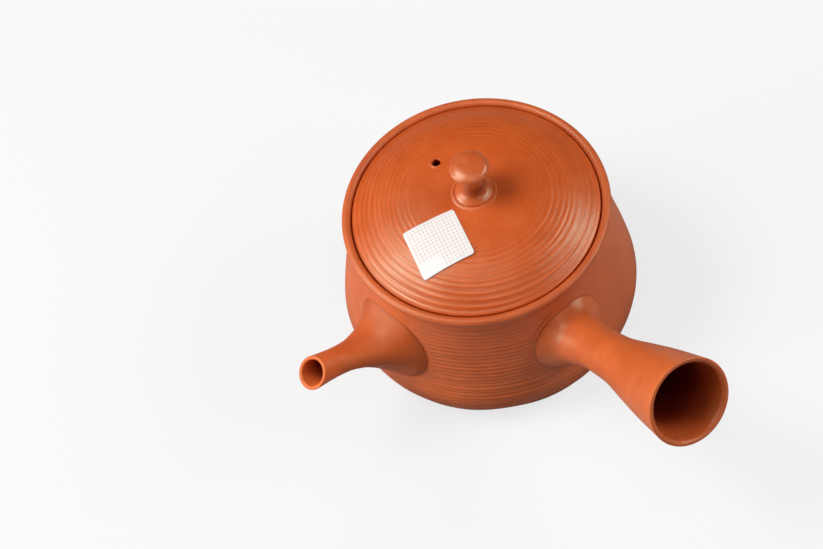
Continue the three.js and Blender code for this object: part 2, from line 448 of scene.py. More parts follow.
def cut(piece, cutter, operation="DIFFERENCE"):
    """Applies a Boolean of one closed solid on another, and drops the cutter"""
    step = piece.modifiers.new("cut", "BOOLEAN")
    step.operation = operation
    step.solver = "MANIFOLD"
    step.object = cutter
    depsgraph = bpy.context.evaluated_depsgraph_get()
    result = bpy.data.meshes.new_from_object(piece.evaluated_get(depsgraph))
    piece.modifiers.clear()
    old = piece.data
    piece.data = result
    bpy.data.meshes.remove(old)
    bpy.data.objects.remove(cutter)


def turn_to_spout(piece, place):
    """Turns a piece's local +Z to the spout's axis and moves it to a place"""
    points = np.array([v.co[:] for v in piece.data.vertices]) / MM
    points = aimed(points, spout_azimuth, spout_elevation, place) * MM
    piece.data.vertices.foreach_set("co", points.astype(np.float32).reshape(-1))
    piece.data.update()


# Form of the body

def body_side(height):
    share = np.clip((height - belly_height) / (neck_height - belly_height), 0, None)
    return belly_radius - (belly_radius - neck_radius) * share ** side_power


def body_radius(height):
    low = clamp(1 - height / belly_height)
    corner = base_radius + (belly_radius - base_radius) * np.sqrt(1 - low ** 2)
    return np.where(height < belly_height, corner, body_side(height))


def body_normal(points):
    height = points[..., 2]
    slope = (body_radius(height + 0.05) - body_radius(height - 0.05)) / 0.1
    flat = np.hypot(points[..., 0], points[..., 1])
    return unit(np.stack([points[..., 0] / flat, points[..., 1] / flat, -slope], -1))


def above_body(points):
    """How far points lie out from the body's outside, level with themselves"""
    return np.hypot(points[..., 0], points[..., 1]) - body_radius(points[..., 2])


def onto_body(points):
    """Moves points level with themselves onto the outside of the body"""
    scale = body_radius(points[..., 2]) / np.hypot(points[..., 0], points[..., 1])
    return points * np.stack([scale, scale, np.ones_like(scale)], -1)


def along_body(vectors, points):
    """Directions of vectors once they are laid along the body's surface at points"""
    normal = body_normal(points)
    return unit(vectors - (vectors * normal).sum(-1)[..., None] * normal)


def wall_line(low, high, inset, count):
    """Side of the body from one height to another, set in from its outside"""
    height = np.linspace(low, high, count)
    return pairs(body_side(height) - inset, height)


def lower_corner(inset, floor, count):
    """Rounded lower edge of the body from a floor up to the belly, set in from its outside"""
    a = np.linspace(0, math.pi / 2, count)
    radius = base_radius - inset + (belly_radius - base_radius) * np.sin(a)
    return pairs(radius, floor + (belly_height - floor) * (1 - np.cos(a)))


# Form of the spout

spout_axis, spout_side, spout_up = frame_along(spout_azimuth, spout_elevation)
spout_mouth = polar(spout_mouth_distance, spout_azimuth, spout_mouth_height)
spout_cut = direction(spout_azimuth, spout_mouth_tilt)
spout_flare = along([0, 0.35, 0.5, 0.6, 0.7, 0.8, 0.9, 1, 1.24], [0, 0, 0.02, 0.08, 0.2, 0.38, 0.65, 1, 1.4])
# How straight the spout widens at each angle, where 0 flares like a trumpet and 1 is a cone
spout_straight = around([0, 30, 60, 90, 110, 128, 150, 240, 300, 340],
                        [0.2, 0.6, 0.95, 0.8, 0.15, 0, 0, 0, 0, 0])


def spout_point(back, angle, inner):
    """Point of the spout's outside, or of its bore where inner is 1"""
    share = np.clip(back / spout_root_reach, 0, None)
    bend = clamp(2 * share - 1)
    straight = clamp(spout_straight(angle))
    cone = np.maximum(share - 0.3, 0) / 0.78
    mouth = np.maximum(1 - share / 0.35, 0) ** 1.5
    flare = spout_flare(share) * (1 - straight) + cone ** 1.15 * straight
    curve = bend ** 3 * (1 - straight) + cone ** 1.3 * straight
    wall = spout_mouth_wall + (spout_root_wall - spout_mouth_wall) * share
    radius = (spout_narrow_radius + (spout_mouth_radius - spout_narrow_radius) * mouth
              + (spout_root_radius - spout_narrow_radius) * flare - inner * wall)
    rise = radius * np.cos(angle)
    up = rise + spout_root_lift * curve
    side = radius * np.sin(angle) + spout_root_lean * curve
    out = -back + math.tan(math.radians(spout_root_tilt)) * rise * bend
    return (spout_mouth + up[..., None] * spout_up + side[..., None] * spout_side
            + out[..., None] * spout_axis)


# Form of the handle

handle_axis, handle_side, handle_up = frame_along(0, handle_elevation)
handle_end = np.array([0, 0, handle_axis_height]) + handle_reach * handle_axis
handle_root_flare = along([0, 0.22, 0.47, 0.65, 0.82, 1], [0.62, 0.42, 0.25, 0.13, 0.04, 0])
handle_end_flare = along([0, 0.1, 0.28, 0.49, 0.73, 1], [0, 0.02, 0.11, 0.4, 0.72, 1])


def handle_radius(reach):
    inward = clamp((reach - handle_root_reach) / (handle_waist_reach - handle_root_reach))
    outward = clamp((reach - handle_waist_reach) / (handle_reach - handle_waist_reach))
    root = (handle_root_radius - handle_waist_radius) * handle_root_flare(inward)
    end = (handle_end_radius - handle_waist_radius) * handle_end_flare(outward)
    return handle_waist_radius + np.where(reach < handle_waist_reach, root, end)


def handle_point(back, angle, inner):
    """Point of the handle's outside, or of its bore where inner is 1"""
    radius = handle_radius(handle_reach - back) - inner * handle_wall
    up = radius * np.cos(angle)
    side = radius * np.sin(angle)
    return (handle_end + up[..., None] * handle_up + side[..., None] * handle_side
            - back[..., None] * handle_axis)


# Tubes pressed onto the body

@dataclass
class Tube:
    """Thick-walled tube with a rounded rim, a foot spread over the body and a thin collar of slip.

    point_at gives a point from the distance back from the mouth, the angle and the share of the
    wall, which is 0 outside and 1 in the bore. rim_slope is how much deeper the rim lies at the
    bore, and mouth_flare the share of the wall by which the bore widens at the mouth. mouth_shade
    is painted shade down the bore and on the rim, or a painted highlight on the rim where negative.
    The last four give the foot's spread, the collar's height and, at each angle, the painted shade
    in the crease and over the root.
    """

    name: str
    point_at: Callable
    mouth: np.ndarray
    cut_normal: np.ndarray
    axis: np.ndarray
    longest: float
    columns: int
    wall_rows: int
    rim_round: float
    rim_slope: float
    mouth_shade: float
    mouth_flare: float
    foot_height: float
    foot: Callable
    bead: Callable
    crease_shade: Callable
    root_shade: Callable


def back_at_mouth(tube, angle, inner):
    """How far back each column crosses the plane that cuts the mouth"""
    back = np.zeros_like(angle)
    for _ in range(6):
        points = tube.point_at(back, angle, inner)
        back = back + ((points - tube.mouth) @ tube.cut_normal) / (tube.axis @ tube.cut_normal)
    return back


def back_at_root(tube, angle, inner, depth=0.0):
    """How far back each column meets the body's outside, less a depth"""
    back = np.linspace(tube.longest * 0.3, tube.longest, 700)
    points = tube.point_at(back[:, None] + 0 * angle, angle[None, :] + 0 * back[:, None], inner)
    gap = above_body(points) + depth
    first = np.argmax(gap < 0, axis=0)
    column = np.arange(len(angle))
    before = gap[first - 1, column]
    after = gap[first, column]
    share = before / (before - after)
    return back[first - 1] + share * (back[first] - back[first - 1])


def outer_rows(tube, angle):
    """Rows of the outside from the rim to the crease, where the foot has spread.

    Also gives how far each point was from the body before that, and the foot's way at the crease.
    """
    ease = 1 - (1 - np.linspace(0, 1, tube.wall_rows)) ** 1.5
    start = back_at_mouth(tube, angle, 0) + tube.rim_round
    back = start + ease[:, None] * (back_at_root(tube, angle, 0) - start)
    rows = tube.point_at(back, angle + 0 * back, 0)
    spread = rows - rows.mean(axis=1, keepdims=True)
    spread -= (spread @ tube.axis)[..., None] * tube.axis
    clear = above_body(rows)
    away = along_body(spread, rows)
    near = clamp(1 - clear / tube.foot_height)
    rows += (tube.foot(angle) * near ** 2)[..., None] * away
    rows[-1] = onto_body(rows[-1])
    return rows, clear, along_body(away[-1], rows[-1])


def collar_rows(tube, angle, crease, away):
    """Rows of the collar of slip outwards from the crease, the last one sunk into the body"""
    height = tube.bead(angle)
    width = 0.4 + clamp(height / 0.4)
    rows = []
    for reach, share, _ in collar_profile:
        ground = onto_body(crease + (reach * width)[:, None] * away)
        rows.append(ground + (share * height)[:, None] * body_normal(ground))
    rows.append(ground - sink * body_normal(ground))
    return np.array(rows)


def bore_rows(tube, angle):
    """Rows of the bore from the root to the rim, and how far back each lies as a share"""
    share = np.linspace(1, 0, tube.wall_rows // 2)[:, None]
    start = back_at_mouth(tube, angle, 1) + tube.rim_slope + 0.6 * tube.rim_round
    back = start + share * (back_at_root(tube, angle, 1, 0.5) - start)
    inner = 1 - tube.mouth_flare * (1 - smooth(0, 0.12, share))
    return tube.point_at(back, angle + 0 * back, inner), share


def rim_rows(tube, angle):
    """Rows across the rounded rim from the bore outwards, and the painted shade of each, a painted highlight
    where negative
    """
    outer_edge = tube.point_at(back_at_mouth(tube, angle, 0), angle, 0)
    inner_edge = tube.point_at(back_at_mouth(tube, angle, 1), angle, 1 - tube.mouth_flare)
    middle = (outer_edge + inner_edge) / 2
    half = (outer_edge - inner_edge) / 2
    rows = []
    shades = []
    for turn in np.linspace(180, 0, 13)[1:-1]:
        flat = math.cos(math.radians(turn))
        across = math.copysign(abs(flat) ** 0.85, flat)
        fall = 1 - math.sin(math.radians(turn)) ** 0.8
        drop = tube.rim_slope * (0.5 - 0.5 * across) ** 2
        drop += tube.rim_round * fall * (1.0 if across > 0 else 0.6)
        rows.append(middle + across * half - drop * tube.axis)
        shades.append(tube.mouth_shade * (1 - smooth(0.35, 0.9, across)))
    return np.array(rows), np.array(shades)


def make_tube(tube):
    """The tube's solid, and the crease where it meets the body"""
    angle = turn_angles(tube.columns)
    outer, clear, away = outer_rows(tube, angle)
    crease = outer[-1]
    collar = collar_rows(tube, angle, crease, away)
    bore, share = bore_rows(tube, angle)
    rim, rim_shades = rim_rows(tube, angle)
    rows = np.concatenate([outer, collar, bore, rim])
    slip_shades = np.array([shade for _, _, shade in collar_profile] + [collar_profile[-1][2]])
    # Painted shade in the crease and the collar, down the bore and over the root; negative values on the rim
    # paint it paler as a highlight
    painted_groove_shading = np.zeros(rows.shape[:2])
    bore_first = len(outer) + len(collar)
    painted_groove_shading[:len(outer)] = clamp(1 - clear / 0.7) ** 1.5 * tube.crease_shade(angle)
    painted_groove_shading[len(outer):bore_first] = slip_shades[:, None] * tube.crease_shade(angle)
    painted_shading = np.zeros(rows.shape[:2])
    rim_first = bore_first + len(bore)
    painted_shading[:len(outer)] = tube.root_shade(angle) * smooth(0, 1, 1 - clear / 15)
    painted_shading[bore_first:rim_first] = tube.mouth_shade + (1 - tube.mouth_shade) * smooth(0, 0.22, share)
    painted_shading[rim_first:] = rim_shades[:, None]
    return ring_solid(tube.name, rows, {"painted_groove_shading": painted_groove_shading, "painted_shading": painted_shading}), crease


def make_spout():
    return make_tube(Tube(
        name="spout_piece", point_at=spout_point,
        mouth=spout_mouth, cut_normal=spout_cut, axis=spout_axis,
        longest=spout_root_reach + 9, columns=136, wall_rows=92,
        rim_round=spout_rim_round, rim_slope=spout_rim_slope,
        # Painted highlight on the rim; painted shade in the crease and over the root's top and flank
        mouth_shade=-0.3, mouth_flare=0.0, foot_height=spout_foot_height,
        foot=around([0, 30, 60, 90, 120, 150, 180, 240, 270, 295, 318, 340],
                    [0.35, 0.6, 0.83, 0.2, -0.95, -0.1, 0.7, 0.4, 0.6, 2.0, 2.8, 1.4]),
        bead=around([0, 40, 90, 140, 200, 260, 300, 335],
                    [0.16, 0.07, 0.05, 0.04, 0.04, 0.04, 0.08, 0.18]),
        crease_shade=around([0, 40, 80, 110, 150, 200, 260, 300, 330],
                            [0.7, 1, 1, 0.8, 0.3, 0.2, 0.3, 0.6, 0.35]),
        root_shade=around([0, 50, 90, 130, 180, 240, 300, 330],
                          [0.3, 0.26, 0.3, 0.2, 0.0, 0.0, 0.26, 0.32]),
    ))


def make_handle():
    return make_tube(Tube(
        name="handle_piece", point_at=handle_point,
        mouth=handle_end, cut_normal=handle_axis, axis=handle_axis,
        longest=handle_reach - 40, columns=168, wall_rows=120,
        rim_round=handle_rim_round, rim_slope=handle_rim_slope,
        # Painted shade down the bore, on the rim and in the crease
        mouth_shade=0.26, mouth_flare=handle_bore_flare, foot_height=handle_foot_height,
        foot=around([0, 20, 45, 90, 135, 180, 225, 250, 270, 290, 315, 340],
                    [2.8, 3.4, 4.2, 3.1, 2.2, 1.5, 2.6, 3.8, 4.4, 4.3, 3.8, 3.0]),
        bead=around([0, 30, 50, 90, 180, 260, 290, 315, 340],
                    [0.4, 0.32, 0.14, 0.05, 0.04, 0.05, 0.1, 0.26, 0.38]),
        crease_shade=around([0, 45, 90, 135, 180, 225, 270, 315], [1, 0.6, 0.3, 0.3, 0.6, 0.9, 0.9, 1]),
        root_shade=np.zeros_like,
    ))


# Lines left by throwing and turning

def line_strength(seed, rng, azimuth):
    """Strength of one line, which comes and goes on its way around"""
    strength = 0.85 + 0.3 * wave(seed, 14, 0.5)(azimuth)
    return np.clip(strength, 0.3, 1.2) * rng.uniform(0.7, 1.1)


def stepped(length, places, riser, seed, waver, azimuth):
    """Shallow steps along a length: each rises sharply at its place and sinks slowly to the next.

    Gives the height, from 0 to 1, and how near each point is to the foot of a step.
    """
    height = np.zeros((len(length), len(azimuth)))
    foot = np.zeros(height.shape)
    rng = np.random.default_rng(seed)
    edges = [place + waver * wave(seed + k, 10, 0.8)(azimuth) for k, place in enumerate(places)]
    for k in range(len(places) - 1):
        strength = line_strength(seed + 100 + k, rng, azimuth)
        away = length - edges[k]
        span = np.maximum(edges[k + 1] - edges[k], 0.8)
        rise = smooth(-riser / 2, riser / 2, away)
        height += strength * rise * clamp(1 - away / span)
        foot += strength * bell(away + 0.1, 0.15 + 0.4 * riser)
    return height, clamp(foot)


def ridged(length, places, width, seed, waver, azimuth, shift):
    """Rounded ridges along a length, each highest at its place and steeper beyond it"""
    height = np.zeros((len(length), len(azimuth)))
    rng = np.random.default_rng(seed)
    for k, place in enumerate(places):
        strength = line_strength(seed + 100 + k, rng, azimuth)
        away = length - place - shift - waver * wave(seed + k, 10, 0.8)(azimuth)
        height += strength * bell(away, np.where(away > 0, 0.8 * width, 1.25 * width))
    return clamp(height)


def plain_rings(length, depth, pitch):
    """Depth of even rings along a length"""
    return depth * (0.5 - 0.5 * np.cos(2 * math.pi * length / pitch))


def rows_of(parts, *names):
    """Which rows of an outline belong to the named parts, as a column"""
    return np.concatenate([np.full(len(rows), name in names) for name, rows in parts.items()])[:, None]


# Body

def distance_to(points, curve):
    """Least distance from each point to a closed curve given by points"""
    nearest = np.full(points.shape[:-1], 1e9)
    for place in curve[::2]:
        nearest = np.minimum(nearest, np.linalg.norm(points - place, axis=-1))
    return nearest


def body_outline():
    """Parts of the outline from the middle of the base, over the lip, to the middle of the floor"""
    recess = np.linspace((axis_gap, 0), (base_radius - 1, 0), 14)
    recess[:, 1] = base_recess * (1 - smooth(base_radius - 8, base_radius - 4, recess[:, 0]))
    lip_round = lip_width / 2
    lip_centre = (rim_radius - lip_round, rim_height - lip_round)
    lip = arc(lip_centre, lip_round, lip_start, 180, 24)
    slope = body_side(neck_height) - body_side(neck_height - 1)
    neck = bezier(
        (neck_radius, neck_height), (neck_radius + neck_bend * slope, neck_height + neck_bend),
        lip[0] - np.array([0.9, 0.63]), lip[0], 12,
    )
    fillet = gallery_radius - seat_fillet
    edge = throat_radius + seat_round
    seat = np.concatenate([
        np.linspace((gallery_radius, lip_centre[1] - 0.3), (gallery_radius, seat_height + 0.6), 3),
        arc((fillet, seat_height + seat_fillet), seat_fillet, -20, -90, 4),
        np.linspace((gallery_radius - 0.8, seat_height), (throat_radius + 0.8, seat_height), 4),
        arc((edge, seat_height - seat_round), seat_round, 90, 180, 5),
        arc((edge, seat_height - seat_thickness + seat_round), seat_round, 180, 250, 4),
    ])
    floor_edge = base_radius - body_wall - 1.5
    return {
        "recess": recess,
        "corner": lower_corner(0, 0, 60),
        "side": wall_line(belly_height, neck_height, 0, 280)[1:],
        "neck": neck[1:-1],
        "lip": lip,
        "seat": seat,
        "inside": wall_line(neck_height - seat_thickness, belly_height, body_wall, 44),
        "inner_corner": lower_corner(body_wall, floor_thickness, 12)[-2::-1],
        "floor": np.linspace((floor_edge, floor_thickness), (axis_gap, floor_thickness), 16),
    }


def ridge_weight(height, degrees, spout_clear, handle_clear):
    """How deep the ridges are: full between the spout and the handle, faint elsewhere"""
    front = window(-118, -98, 3, 22, degrees)
    band = window(1.5, 5, 50, 53, height) * (1 - 0.4 * smooth(34, 50, height))
    under_handle = window(-50, -25, 8, 24, degrees)
    low = 1 - smooth(12, 30, height)
    weight = band * (0.22 + 0.78 * front) * (1 + low * (0.2 + 0.9 * under_handle))
    return weight * smooth(1.0, 4.0, spout_clear) * smooth(0.3, 1.6, handle_clear)


def dragged_line(height, degrees, azimuth):
    """One line dragged across the front where the neck begins"""
    drag = bell(height - drag_height - 0.35 * wave(7, 7)(azimuth), 0.35)
    return drag * window(-60, -45, -25, -12, degrees)


def pouring_hole_drill():
    """Drill along the spout's axis, through the wall behind the spout"""
    corners = [(0.5, pouring_hole_start), (pouring_hole_radius, pouring_hole_start),
               (pouring_hole_radius, pouring_hole_end), (0.5, pouring_hole_end)]
    drill = turned("drill", corners, 48)
    turn_to_spout(drill, spout_root_point())
    return drill


def make_body(creases):
    parts = body_outline()
    outline = np.concatenate(list(parts.values()))
    columns = 300
    azimuth = turn_angles(columns)
    degrees = (np.degrees(azimuth) + 180) % 360 - 180
    outside = rows_of(parts, "recess", "corner", "side", "neck")
    inside = rows_of(parts, "inside", "inner_corner", "floor")
    height = np.where(outside, outline[:, 1:], nowhere)
    radius = outline[:, :1]
    grid = np.stack([radius * np.cos(azimuth), radius * np.sin(azimuth), outline[:, 1:] + 0 * azimuth], -1)
    spout_clear, handle_clear = (distance_to(grid, crease) for crease in creases)
    # Ridges and the dragged line
    places = spaced(first_ridge, last_ridge, ridge_pitch, 0.15, 11)
    lift, foot = stepped(height, places, ridge_riser, 40, 0.1, azimuth)
    weight = ridge_weight(height, degrees, spout_clear, handle_clear)
    drag = dragged_line(height, degrees, azimuth)
    depth = ridge_depth * (1 - lift) * weight + drag_depth * drag
    # Painted shade at the foot of each ridge step and along the dragged line
    dark = np.maximum(foot * weight, 0.5 * drag)
    # Spiral of throwing rings inside
    run = np.cumsum(np.linalg.norm(np.diff(outline, axis=0, prepend=outline[:1]), axis=1))
    depth += plain_rings(run[:, None] + azimuth * 0.6, throwing_depth, throwing_pitch) * inside
    # Hand-made unevenness of the whole wall
    uneven = (0.1 * wave(21, 4)(azimuth) - 0.12) * smooth(5, 20, height)
    uneven = uneven * smooth(3, 12, np.minimum(spout_clear, handle_clear))
    # Painted shade: darker towards the bottom outside and all over the inside, a little darker on the lip
    foot_shade = 0.4 * (1 - smooth(8, 24, height)) * outside
    painted_shading = np.where(inside, 0.25, foot_shade + 0.13 * rows_of(parts, "lip")) + 0 * azimuth
    marks = {"painted_groove_shading": dark, "painted_shading": painted_shading}
    piece = turned("body_piece", outline, columns, uneven - depth, marks)
    cut(piece, pouring_hole_drill())
    return piece


# Sieve

def spout_root_point():
    """Where the spout's axis meets the inside of the body"""
    rise = (spout_mouth_distance - belly_radius) * math.tan(math.radians(spout_elevation))
    inside = float(body_side(spout_mouth_height - rise)) - body_wall
    back = (spout_mouth_distance - inside) / math.cos(math.radians(spout_elevation))
    bend = clamp(2 * back / spout_root_reach - 1)
    return spout_mouth - back * spout_axis + spout_root_lean * bend ** 3 * spout_side


def inner_space():
    """Closed solid that reaches just into the body's wall and floor, to trim the sieve to"""
    inset = body_wall - sink
    floor = floor_thickness - sink
    top = neck_height - seat_thickness
    outline = np.concatenate([
        [[1, floor]], lower_corner(inset, floor, 14)[:-1],
        wall_line(belly_height, top, inset, 40), [[1, top]],
    ])
    return turned("inner_space", outline, 160)


def sieve_pins(centre):
    """Rings of pins that point to the dome's centre and cut its holes"""
    points = []
    faces = []
    sides = 14
    around_pin = turn_angles(sides)
    for number in range(sieve_rings):
        count = 1 if number == 0 else 6 * number
        tilt = number * sieve_pitch / sieve_radius
        for i in range(count):
            turn = 2 * math.pi * (i + 0.25 * number) / count
            spin = Matrix.Rotation(tilt, 3, Vector((math.cos(turn), math.sin(turn), 0)))
            start = len(points)
            for depth in (-sieve_radius - sieve_pin_overrun, -sieve_radius + sieve_wall + sieve_pin_overrun):
                for angle in around_pin:
                    x = sieve_hole_radius * math.cos(angle)
                    y = sieve_hole_radius * math.sin(angle)
                    points.append(tuple(spin @ Vector((x, y, depth))))
            for j in range(sides):
                k = (j + 1) % sides
                faces.append([start + j, start + k, start + sides + k, start + sides + j])
            faces.append([start + j for j in range(sides)][::-1])
            faces.append([start + sides + j for j in range(sides)])
    return make_object("pins", aimed(points, spout_azimuth, spout_elevation, centre), faces)


def make_sieve():
    """Perforated clay dome behind the spout"""
    centre = spout_root_point() + sieve_sink * spout_axis
    outside = arc((0, 0), sieve_radius, sieve_low_angle, sieve_rim_angle, 52)
    inside = arc((0, 0), sieve_radius - sieve_wall, sieve_rim_angle, sieve_low_angle, 46)
    piece = turned("sieve_piece", np.concatenate([outside, inside]), 120)
    turn_to_spout(piece, centre)
    cut(piece, inner_space(), "INTERSECT")
    cut(piece, sieve_pins(centre))
    return piece


# Lid

def lid_top(radius):
    drop = np.clip(radius - knob_pad_radius, 0, None) / (lid_radius - knob_pad_radius)
    full = np.clip(radius / lid_radius, 0, None) ** dome_power
    return dome_height - dome_rise * full * np.minimum(1, 4 * drop)


def lid_outline():
    """Parts of the outline from the middle of the underside, over the edge, to the top's middle"""
    under_radius = np.linspace(axis_gap, flange_inner - 0.4, 30)
    join = lid_top(flange_inner) - lid_wall - 0.8
    foot = flange_foot + flange_round
    inner_round = flange_inner + flange_round
    outer_round = flange_radius - flange_round
    flange = np.concatenate([
        np.linspace((flange_inner, join), (flange_inner, foot), 8),
        arc((inner_round, foot), flange_round, 180, 270, 6),
        arc((outer_round, foot), flange_round, 270, 360, 6),
        np.linspace((flange_radius, foot + 0.6), (flange_radius, seat_height - 0.4), 6),
        arc((flange_radius + flange_fillet, seat_height - 0.4), flange_fillet, 180, 90, 4),
    ])
    seat = seat_height + join_gap
    edge = lid_radius - lid_edge_round
    edge_top = float(lid_top(edge))
    edge = np.concatenate([
        np.linspace((flange_radius + 1.3, seat), (lid_radius - 0.8, seat), 4),
        arc((edge, seat + lid_edge_round), lid_edge_round, -80, 0, 4),
        np.linspace((lid_radius, seat + 0.8), (lid_radius, edge_top - 1.0), 4),
        bezier((lid_radius, edge_top - 0.8), (lid_radius, edge_top - 0.35),
               (lid_radius - 0.2, edge_top - 0.12), (edge, edge_top), 5),
    ])
    ringed = np.linspace(lid_radius - 0.75, ringed_from, 160)
    top_radius = np.concatenate([ringed, np.linspace(ringed_from, axis_gap, 42)[1:]])
    return {
        "under": pairs(under_radius, lid_top(under_radius) - lid_wall),
        "flange": flange,
        "edge": edge,
        "top": pairs(top_radius, lid_top(top_radius)),
    }


def ring_weight(radius, azimuth):
    """How deep the turned rings are at each radius and azimuth"""
    places = [16, 61, 106, 151, 196, 241, 286, 331]
    strength = around(places, [1.1, 0.8, 0.8, 0.8, 1.1, 1.6, 1.25, 1.15])(azimuth)
    growth = around(places, [0.7, 0.1, 0.0, 0.0, 0.1, 0.3, 0.8, 1.2])(azimuth)
    band = window(ringed_from, 27, 43.8, 44.6, radius)
    return band * strength * (1 + growth * (smooth(29, 43, radius) - 0.3))


def vent_burr(radius, azimuth, vent):
    """Height of the soft burr around the vent, most of it on the lower side"""
    x = radius * np.cos(azimuth) - vent[0]
    y = radius * np.sin(azimuth) - vent[1]
    off = np.hypot(x, y)
    low_side = clamp((y * -0.87 + x * 0.5) / np.maximum(off, 0.1))
    return burr_height * bell(off - vent_radius - 0.3, 0.4) * (0.25 + 0.75 * low_side)


def vent_drill(vent):
    """Drill that widens a little where it leaves the top of the lid"""
    top = float(lid_top(vent_reach))
    low = top - lid_wall - vent_overrun
    high = top + vent_overrun
    outline = [
        [0.4, low], [vent_radius, low], [vent_radius, top - 0.5], [vent_radius + 0.02, top - 0.2],
        [vent_radius + 0.1, top + 0.3], [vent_radius + 0.1, high], [0.4, high],
    ]
    return turned("drill", outline, 40, centre=(vent[0], vent[1]))


def make_lid():
    parts = lid_outline()
    outline = np.concatenate(list(parts.values()))
    columns = 300
    azimuth = turn_angles(columns)
    above = rows_of(parts, "top")
    under = rows_of(parts, "under")
    radius = np.where(above, outline[:, :1], nowhere)
    weight = ring_weight(radius, azimuth)
    places = spaced(first_ring, lid_radius, ring_pitch, 0.12, 31)
    off_centre = rings_off_centre * np.cos(azimuth - math.radians(60))
    lift = ridged(radius, places, ring_width, 60, 0.1, azimuth, off_centre)
    vent = polar(vent_reach, vent_azimuth, 0)
    push = vent_burr(outline[:, :1], azimuth, vent) * above - ring_depth * (1 - lift) * weight
    push = push - plain_rings(outline[:, :1], under_ring_depth, under_ring_pitch) * under
    # Painted highlight on the crests of the rings, painted shade in the troughs and on the underside
    marks = {"painted_groove_shading": (0.3 - 0.9 * lift) * weight, "painted_shading": 0.5 * under + 0 * azimuth}
    piece = turned("lid_piece", outline, columns, push, marks)
    cut(piece, vent_drill(vent))
    return piece


# Knob

def knob_outline():
    """Outline above the dome: the slip around the foot, the stem, the brim and the crown"""
    half = knob_slip_height / 2
    slip = [[1.5, -sink], [5, -sink], [knob_slip_radius - 0.1, -sink]]
    slip += [[knob_slip_radius + out, half * up] for out, up in (
        (0, 0), (-0.2, 0.2), (-0.6, 0.45), (-1, 0.75),
    )]
    slip += [[knob_foot_radius + out, half * up] for out, up in (
        (0.35, 0.8), (0.12, 0.45), (-0.02, 0.5), (0.04, 1.3), (0.03, 1.9), (-0.02, 2.3),
    )]
    foot = along([0, 0.05, 0.12, 0.22, 0.36, 0.5, 0.94], [1, 0.74, 0.33, 0.1, 0.02, 0, 0])
    cap = along([0, 0.5, 0.7, 0.85, 0.94], [0, 0, 0.06, 0.38, 0.9])
    share = np.linspace(0.03, 0.94, 56)
    radius = (knob_waist_radius + (knob_foot_radius - knob_waist_radius) * clamp(foot(share))
              + (knob_cap_radius - knob_waist_radius) * clamp(cap(share)))
    rise = knob_cap_height - knob_slip_height
    stem = pairs(radius, knob_slip_height + rise * share)
    brim = bezier(stem[-1], stem[-1] + np.array([0.2, 0.2]), (knob_cap_radius, knob_cap_height - 0.3),
                  (knob_cap_radius, knob_cap_height), 9)
    a = np.linspace(0, math.pi / 2, 34)[1:-1]
    nub = knob_nub * bell(knob_cap_radius * np.cos(a), 0.9)
    height = knob_cap_height + (knob_crown - knob_nub) * np.sin(a) + nub
    crown = pairs(knob_cap_radius * np.cos(a) ** 0.8, height)
    return np.concatenate([slip, stem, brim[1:], crown[crown[:, 0] > 0.35]])


def make_knob():
    outline = knob_outline()
    level = outline[:, 1:]
    columns = 112
    azimuth = turn_angles(columns)
    turning = 0.03 * np.cos(level * 5.1 + 2 * wave(8, 3)(azimuth)) * smooth(1, 3, level)
    uneven = 0.05 * wave(9, 3)(azimuth) * smooth(1, 4, level)
    push = np.minimum(turning + uneven - 0.05, 0) * (level > 0.8)
    # Painted shade in the crease around the foot and on the waist under the cap, darker on one side
    painted_groove_shading = bell(outline[:, :1] - knob_foot_radius - 0.05, 0.16) * (level < 0.5)
    painted_groove_shading = painted_groove_shading * (0.45 + 0.45 * np.cos(azimuth + math.radians(110)))
    waist = 0.85 * bell(level - 5.2, 2.8) * (0.6 + 0.4 * np.cos(azimuth - math.radians(20)))
    marks = {"painted_groove_shading": painted_groove_shading, "painted_shading": waist}
    centre = polar(knob_offset, knob_offset_azimuth, 0)[:2]
    return turned("knob_piece", outline + [0, dome_height], columns, push, marks, centre)


# Label

def make_label():
    """Square of paper with rounded corners that lies on the dome and lifts a little at one edge"""
    count = 41
    half = label_side / 2
    x, y = np.meshgrid(*[np.linspace(-half, half, count)] * 2, indexing="ij")
    inner = half - label_corner
    corner = (np.abs(x) > inner) & (np.abs(y) > inner)
    dx = x - np.sign(x) * inner
    dy = y - np.sign(y) * inner
    drawn_in = np.maximum(np.abs(dx), np.abs(dy)) / np.maximum(np.hypot(dx, dy), 1e-6)
    x = np.where(corner, x - dx * (1 - drawn_in), x)
    y = np.where(corner, y - dy * (1 - drawn_in), y)
    low = np.stack([x, y, 0 * x], -1) @ spun(label_turn).T + polar(label_reach, label_azimuth, 0)
    lift = (0.3 + 0.2 * smooth(-9, 6, y)) * smooth(4, half, x) ** 1.5 + 0.08 * smooth(7, half, np.abs(y))
    low[..., 2] = lid_top(np.hypot(low[..., 0], low[..., 1])) + 0.05 + lift
    points = np.concatenate([low.reshape(-1, 3), (low + [0, 0, label_thickness]).reshape(-1, 3)])
    size = count * count
    index = np.arange(size).reshape(count, count)
    cells = [index[:-1, :-1], index[1:, :-1], index[1:, 1:], index[:-1, 1:]]
    cells = np.stack(cells, -1).reshape(-1, 4)
    border = np.concatenate([index[:-1, 0], index[-1, :-1], index[:0:-1, -1], index[0, :0:-1]])
    after = np.roll(border, -1)
    edges = np.stack([border, after, after + size, border + size], -1)
    piece = make_object("label_piece", points, np.concatenate([cells + size, cells[:, ::-1], edges]).tolist())
    page = pairs(y + half, half - x).reshape(-1, 2) / label_side
    corners = np.zeros(len(piece.data.loops), np.int32)
    piece.data.loops.foreach_get("vertex_index", corners)
    layer = piece.data.uv_layers.new(name="sheet")
    layer.data.foreach_set("uv", page[corners % size].astype(np.float32).reshape(-1))
    return piece


# Materials

